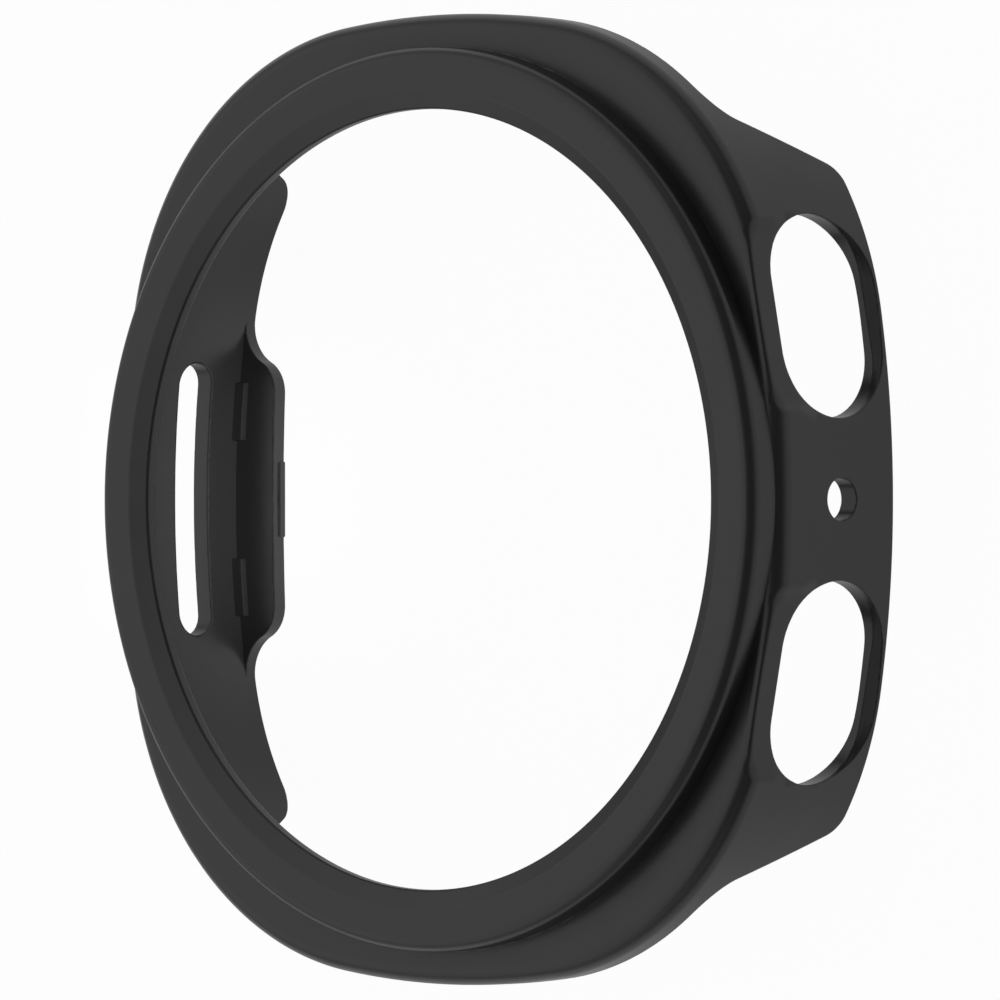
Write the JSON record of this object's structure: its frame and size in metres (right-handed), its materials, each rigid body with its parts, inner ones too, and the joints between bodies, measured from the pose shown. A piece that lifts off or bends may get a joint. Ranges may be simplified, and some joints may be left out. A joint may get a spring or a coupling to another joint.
{
  "type": "smartwatch case",
  "caption": "Hard clip-on bumper for a cushion-shaped smartwatch: open round front ring, two springy side walls, button windows, microphone hole, speaker slot and a rear hook.",
  "frame": {"origin": "on the axis of the round display opening, in the plane of the walls' back edges", "axes": "+Z along the display axis and out of the front, +X to the button side (3 o'clock), +Y to 12 o'clock"},
  "size_m": [0.046, 0.0486, 0.01],
  "materials": {
    "black_plastic": "smooth matte black hard plastic"
  },
  "bodies": {
    "frame": {"front_frame": "black_plastic"},
    "button_side": {"button_side_wall": "black_plastic"},
    "speaker_side": {"speaker_side_wall": "black_plastic"}
  },
  "joints": [
    {"name": "button_side_flex", "type": "hinge", "parent": "frame", "child": "button_side", "pos_m": [0.02247, 0, 0.0074], "axis": [0, -1, 0], "range_deg": [0, 5], "stiffness_Nm_per_rad": 1.5},
    {"name": "speaker_side_flex", "type": "hinge", "parent": "frame", "child": "speaker_side", "pos_m": [-0.02247, 0, 0.0074], "axis": [0, 1, 0], "range_deg": [0, 5], "stiffness_Nm_per_rad": 1.5}
  ]
}
